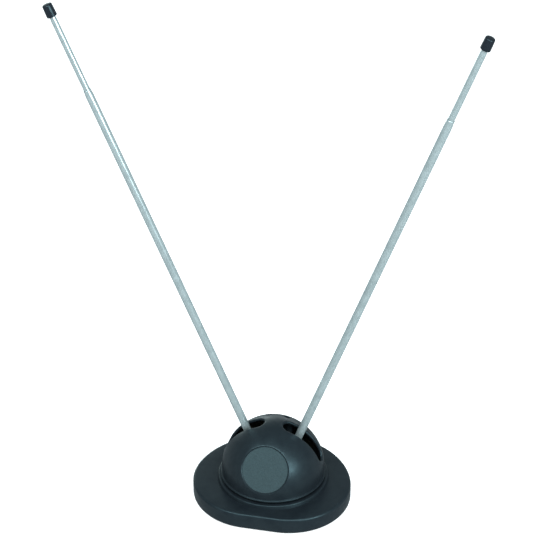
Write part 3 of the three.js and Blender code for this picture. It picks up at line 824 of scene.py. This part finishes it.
def make_knuckle(side, pivot, axis, tube_radius):
    """The turned end of an ear: an eye for the pin, a shoulder and a plug for the first tube."""
    start, end, _ = span(f"{side}_knuckle", pivot, axis)
    eye_radius = -start
    half = 3 * MM
    bore = 1.88 * MM
    shoulder = (4.6 * MM, 7.85 * MM)
    plug = tube_radius - 0.47 * MM
    eye = turned(smooth_profile([
        (bore, -half, 0),
        (eye_radius, -half, 0.5 * MM),
        (eye_radius, half, 0.5 * MM),
        (bore, half, 0),
    ]), 72)
    for point in eye.points:
        point.y, point.z = point.z, point.y
    stem = turned(smooth_profile([
        (0, 2.6 * MM, 0),
        (2.8 * MM, 2.6 * MM, 0),
        (2.8 * MM, shoulder[0], 0.4 * MM),
        (tube_radius, shoulder[0], 0.4 * MM),
        (tube_radius, shoulder[1], 0.15 * MM),
        (plug, shoulder[1], 0),
        (plug, end, 0.4 * MM),
        (0, end, 0),
    ]), 48)
    obj = eye.piece(f"{side}_ear_eye", "brass")
    change_by(obj, [stem.piece("stem", "brass")], "UNION")
    lay_along(obj, pivot, axis)
    settle(obj, f"{side}_ear", f"{side}_knuckle")


def make_ear(side):
    """One ear: its three tubes, the cap and the knuckle."""
    pivot = Vector(joint(f"{side}_swing")["pos_m"])
    axis = Vector(joint(f"{side}_middle_slide")["axis"]).normalized()
    parts = ("outer_tube", "middle_tube", "inner_tube", "tip_cap")
    outer, middle, inner, cap = (span(f"{side}_{part}", pivot, axis) for part in parts)
    outer_profile = tube_profile(*outer, 5 * MM, middle[2] + 0.08 * MM)
    middle_profile = tube_profile(*middle, 2 * MM, inner[2] + 0.06 * MM)
    pieces = (
        # name, profile, points round it, material, body, CAD node
        ("outer_section", outer_profile, 72, "tube_metal", "ear", "outer_tube"),
        ("middle_section", middle_profile, 64, "tube_metal", "middle", "middle_tube"),
        ("inner_section", plain_tube_profile(*inner), 56, "tube_metal", "inner", "inner_tube"),
        ("cap", cap_profile(*cap, inner[2] + 0.1 * MM), 72, "cap_plastic", "inner", "tip_cap"),
    )
    for name, profile, count, material, rides, node in pieces:
        obj = turned(profile, count).piece(f"{side}_{name}", material)
        lay_along(obj, pivot, axis)
        settle(obj, f"{side}_{rides}", f"{side}_{node}")
    make_knuckle(side, pivot, axis, outer[2])


# ---- Underside ----

def make_foot_pad():
    low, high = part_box("foot_pad")
    inset = low[1] - FRONT_Y
    edge = 0.4 * MM
    body = Solid()
    rings = [
        body.ring(base_outline(inset + edge, low[2])),
        body.ring(base_outline(inset + 0.1 * MM, low[2] + 0.12 * MM)),
        body.ring(base_outline(inset, low[2] + edge)),
        body.ring(base_outline(inset, high[2])),
    ]
    body.bridge_all(rings)
    for ring in (rings[0], rings[-1]):
        body.fill(flat_xy, ring)
    obj = body.piece("foot_pad_sheet", "rubber")
    settle(obj, "base", "foot_pad")


def make_bottom_cover():
    """The cover: a recess for the pad and a counterbore round each screw."""
    low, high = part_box("bottom_cover")
    inset = low[1] - FRONT_Y
    edge = 0.3 * MM
    recess_inset = 16.7 * MM
    recess_top = low[2] + 0.7 * MM
    body = Solid()
    outside = [
        body.ring(base_outline(inset + edge, low[2])),
        body.ring(base_outline(inset, low[2] + edge)),
        body.ring(base_outline(inset, high[2])),
    ]
    recess = [
        body.ring(base_outline(recess_inset, low[2])),
        body.ring(base_outline(recess_inset + 0.1 * MM, recess_top)),
    ]
    bores = []
    for number in (1, 2, 3, 4):
        screw_low, screw_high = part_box(f"cover_screw_{number}")
        centre = ((screw_low[0] + screw_high[0]) / 2, (screw_low[1] + screw_high[1]) / 2)
        bores.append([body.ring(circle(radius, z, 40, centre)) for radius, z in (
            (3.4 * MM, low[2]),
            (3.1 * MM, low[2] + edge),
            (3.1 * MM, 2.5 * MM),
            (1.7 * MM, 2.5 * MM),
            (1.7 * MM, high[2]),
        )])
    for rings in (outside, recess, *bores):
        body.bridge_all(rings)
    body.fill(flat_xy, outside[0], [recess[0], *(rings[0] for rings in bores)])
    body.fill(flat_xy, recess[1])
    body.fill(flat_xy, outside[-1], [rings[-1] for rings in bores])
    settle(body.piece("cover_plate", "black_plastic"), "base", "bottom_cover")


def oblong(half_width, half_height, rounding, y, centre_z, steps=6):
    """A rectangle with round corners that faces Y."""
    points = []
    for corner, (sign_x, sign_z) in enumerate(((1, 1), (-1, 1), (-1, -1), (1, -1))):
        corner_x = sign_x * (half_width - rounding)
        corner_z = centre_z + sign_z * (half_height - rounding)
        for i in range(steps + 1):
            angle = pi / 2 * (corner + i / steps)
            points.append((corner_x + rounding * cos(angle), y, corner_z + rounding * sin(angle)))
    return points


def make_grommet():
    """A flanged rubber gland with a flat slot for the lead."""
    low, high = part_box("lead_grommet")
    wide = (high[0] - low[0]) / 2
    tall = (high[2] - low[2]) / 2
    centre_z = (low[2] + high[2]) / 2
    flange = 1.05 * MM
    outer_flange = high[1] - 1.25 * MM
    inner_flange = low[1] + 1.1 * MM
    soft = 0.35 * MM
    slot = (4.4 * MM, 1.2 * MM)
    sections = [
        (slot[0], slot[1], low[1]),
        (wide - soft, tall - soft, low[1]),
        (wide, tall, low[1] + soft),
        (wide, tall, inner_flange),
        (wide - flange, tall - flange, inner_flange),
        (wide - flange, tall - flange, outer_flange),
        (wide, tall, outer_flange),
        (wide, tall, high[1] - soft),
        (wide - soft, tall - soft, high[1]),
        (slot[0] + soft, slot[1] + soft, high[1]),
        (slot[0], slot[1], high[1] - soft),
    ]
    body = Solid()
    rings = [body.ring(oblong(w, h, 0.9 * MM, y, centre_z)) for w, h, y in sections]
    body.bridge_all([*rings, rings[0]])
    settle(body.piece("lead_gland", "rubber"), "base", "lead_grommet")


# ---- Fastenings ----

SCREWS = (
    # name, copies, height of head, radius of shank, head down
    ("cover_screw", (1, 2, 3, 4), 1.4 * MM, 1.2 * MM, True),
    ("frame_screw", (1, 2, 3, 4), 1.6 * MM, 1.2 * MM, True),
    ("dome_screw", ("left", "right"), 1.7 * MM, 1.1 * MM, False),
    ("board_screw", ("left", "right"), 1.4 * MM, 1.1 * MM, False),
    ("terminal_screw", ("left", "right"), 1.4 * MM, 1.1 * MM, False),
)


def screw_profile(head, height, shank, length):
    """A pan head above z = 0 and a threaded shank below it."""
    tip = 1.2 * MM
    pitch = 0.7 * MM
    points = [(0, -length), (0.5 * shank, -length), (shank, -length + tip)]
    for i in range(int((length - tip) / pitch) - 1):
        z = -length + tip + pitch * i
        points += [(0.84 * shank, z + 0.5 * pitch), (shank, z + pitch)]
    rounded_head = smooth_profile([
        (shank, 0, 0),
        (head, 0, 0.15 * MM),
        (head, 0.55 * height, 0.4 * MM),
        (0.72 * head, height, 0.3 * MM),
        (0.2 * head, height, 0),
    ])
    return points + rounded_head + [(0, height)]


def make_screw(node, height, shank, head_down):
    low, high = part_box(node)
    centre = Vector(((low[0] + high[0]) / 2, (low[1] + high[1]) / 2, 0))
    head = (high[0] - low[0]) / 2
    up = -1 if head_down else 1
    seat = low[2] + height if head_down else high[2] - height
    profile = screw_profile(head, height, shank, high[2] - low[2] - height)
    body = turned([(radius, seat + up * z) for radius, z in profile], 32)
    for point in body.points:
        point += centre
    obj = body.piece(f"{node}_body", "plated_steel")
    arm = 0.55 * head
    blade = 0.3 * MM
    floor, top = sorted((seat + up * 0.4 * height, seat + up * (height + 1 * MM)))
    change_by(obj, [
        block((centre.x - wide, centre.y - deep, floor), (centre.x + wide, centre.y + deep, top))
        for wide, deep in ((arm, blade), (blade, arm))
    ])
    settle(obj, "base", node)


def along_y(profile, node, name):
    """A steel piece turned about the Y axis of its CAD node's box, from (radius, y)."""
    low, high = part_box(node)
    centre = Vector(((low[0] + high[0]) / 2, 0, (low[2] + high[2]) / 2))
    body = turned(profile, 48)
    body.points = [centre + Vector((p.x, p.z, p.y)) for p in body.points]
    settle(body.piece(name, "plated_steel"), "base", node)


def make_pin(side):
    """A round-headed pivot pin, threaded where the nut is."""
    node = f"pivot_pin_{side}"
    low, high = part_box(node)
    head = (high[0] - low[0]) / 2
    shank = PIN_RADIUS
    underside = low[1] + PIN_HEAD_HEIGHT
    pitch = 0.5 * MM
    thread = []
    for i in range(11):
        y = high[1] - 0.3 * MM - pitch * (11 - i)
        thread += [(shank, y), (shank - 0.15 * MM, y + 0.5 * pitch)]
    head_end = smooth_profile([
        (0.3 * head, low[1], 0),
        (0.8 * head, low[1], 0.6 * MM),
        (head, low[1] + 0.9 * MM, 0.3 * MM),
        (head, underside, 0.15 * MM),
        (shank, underside, 0),
    ])
    profile = [(0, low[1])] + head_end + thread + [(shank - 0.4 * MM, high[1]), (0, high[1])]
    along_y(profile, node, f"pivot_pin_{side}_turned")


def make_nut(side):
    """A hexagon nut with both faces chamfered."""
    node = f"pivot_nut_{side}"
    low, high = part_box(node)
    corner = (high[0] - low[0]) / 2
    face = 0.9 * corner
    bore = 1.92 * MM
    centre = Vector(((low[0] + high[0]) / 2, 0, (low[2] + high[2]) / 2))
    count = 72
    turns = [2 * pi * i / count for i in range(count)]
    reach = [corner * cos(pi / 6) / cos(angle % (pi / 3) - pi / 6) for angle in turns]
    body = Solid()

    def ring_at(radii, ys):
        return body.ring(centre + Vector((r * cos(a), y, r * sin(a))) for r, a, y in zip(radii, turns, ys))

    worn = [min(r, face) for r in reach]
    drop = [0.58 * (r - w) for r, w in zip(reach, worn)]
    rings = [
        ring_at([bore] * count, [low[1]] * count),
        ring_at(worn, [low[1]] * count),
        ring_at(reach, [low[1] + d for d in drop]),
        ring_at(reach, [high[1] - d for d in drop]),
        ring_at(worn, [high[1]] * count),
        ring_at([bore] * count, [high[1]] * count),
    ]
    body.bridge_all([*rings, rings[0]])
    obj = body.piece(f"pivot_nut_{side}_hexagon", "plated_steel", NUT_CRISP_EDGE)
    settle(obj, "base", node)


def make_washers(side):
    """The two dished spring washers of one pivot."""
    for place in ("front", "rear"):
        node = f"{place}_washer_{side}"
        low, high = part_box(node)
        outer = (high[0] - low[0]) / 2
        inner = 1.95 * MM
        half = (high[1] - low[1]) / 2
        profile = [(inner, low[1] + half), (outer, low[1]), (outer, low[1] + half), (inner, high[1])]
        along_y(profile, node, f"{place}_spring_washer_{side}")


# ---- Pieces that keep their CAD shape ----

def dress_cad_nodes():
    for row in frame["record"]["subparts"]:
        obj = frame["nodes"][row["node"]]
        obj.data.materials.clear()
        obj.data.materials.append(materials[row["material_slot"]])


# ---- Stage ----

CAMERA_AZIMUTH = radians(12.2)
CAMERA_ELEVATION = radians(32)
CAMERA_DISTANCE = 40 * DOME_RADIUS
AIM_ABOVE_DOME = 0.1713
AIM_LEFT_OF_DOME = 0.0028
FIELD_WIDTH = 0.4744


def direction(azimuth, elevation):
    """Unit vector towards a point seen at an azimuth from the front and an elevation."""
    return Vector((sin(azimuth) * cos(elevation), -cos(azimuth) * cos(elevation), sin(elevation)))


def make_camera():
    toward = direction(CAMERA_AZIMUTH, CAMERA_ELEVATION)
    right = Vector((cos(CAMERA_AZIMUTH), sin(CAMERA_AZIMUTH), 0))
    up = toward.cross(right)
    data = bpy.data.cameras.new("camera")
    data.sensor_width = 36
    data.lens = 36 * CAMERA_DISTANCE / FIELD_WIDTH
    camera = bpy.data.objects.new("camera", data)
    camera.location = DOME_CENTRE + up * AIM_ABOVE_DOME - right * AIM_LEFT_OF_DOME + toward * CAMERA_DISTANCE
    camera.rotation_euler = (pi / 2 - CAMERA_ELEVATION, 0, CAMERA_AZIMUTH)
    bpy.context.scene.collection.objects.link(camera)
    bpy.context.scene.camera = camera


def softbox(name, azimuth, elevation, distance, size, power, colour):
    """A rectangular light that faces the dome's centre."""
    data = bpy.data.lights.new(name, "AREA")
    data.shape = "RECTANGLE"
    data.size, data.size_y = size
    data.energy = power
    data.color = colour
    light = bpy.data.objects.new(name, data)
    toward = direction(radians(azimuth), radians(elevation))
    light.location = DOME_CENTRE + toward * distance
    light.rotation_euler = toward.to_track_quat("Z", "Y").to_euler()
    bpy.context.scene.collection.objects.link(light)


def make_floor():
    mesh = bpy.data.meshes.new("floor")
    reach = 8
    below_the_pad = -0.2 * MM
    signs = ((-1, -1), (1, -1), (1, 1), (-1, 1))
    corners = [(x * reach, y * reach, below_the_pad) for x, y in signs]
    mesh.from_pydata(corners, [], [(0, 1, 2, 3)])
    shader = Shader("pale_floor", (0.9, 0.9, 0.9), 0.8)
    shader.colour(shader.noise(0.3, 2), (0.88, 0.88, 0.88), (0.9, 0.9, 0.9))
    shader.bsdf.inputs["Emission Color"].default_value = (1, 1, 1, 1)
    shader.bsdf.inputs["Emission Strength"].default_value = 0.75
    mesh.materials.append(shader.material)
    floor = bpy.data.objects.new("floor", mesh)
    bpy.context.scene.collection.objects.link(floor)
    floor.visible_glossy = False


def make_world():
    world = bpy.data.worlds.new("studio")
    world.use_nodes = True
    background = world.node_tree.nodes["Background"]
    background.inputs["Color"].default_value = (0.8, 0.95, 1, 1)
    background.inputs["Strength"].default_value = 0.35
    bpy.context.scene.world = world


def light_stage():
    bpy.context.scene.view_settings.view_transform = "Standard"
    softbox("key", 53, 23, 1.6, (0.7, 0.6), 16, (0.8, 0.96, 1))
    softbox("front_top", -5, 58, 1.6, (2, 0.45), 27, (0.85, 0.98, 1))
    softbox("left_rim", -147, 10, 1.6, (1, 0.7), 3.2, (0.85, 1, 0.97))
    softbox("rear_rim", -168, 6, 1.8, (1.6, 0.3), 2.5, (0.9, 0.98, 1))


dress_cad_nodes()
make_base()
make_dome()
make_badge()
for side in ("left", "right"):
    make_ear(side)
    make_pin(side)
    make_nut(side)
    make_washers(side)
make_bottom_cover()
make_foot_pad()
make_grommet()
for name, copies, *shape in SCREWS:
    for copy in copies:
        make_screw(f"{name}_{copy}", *shape)
make_camera()
make_floor()
make_world()
light_stage()
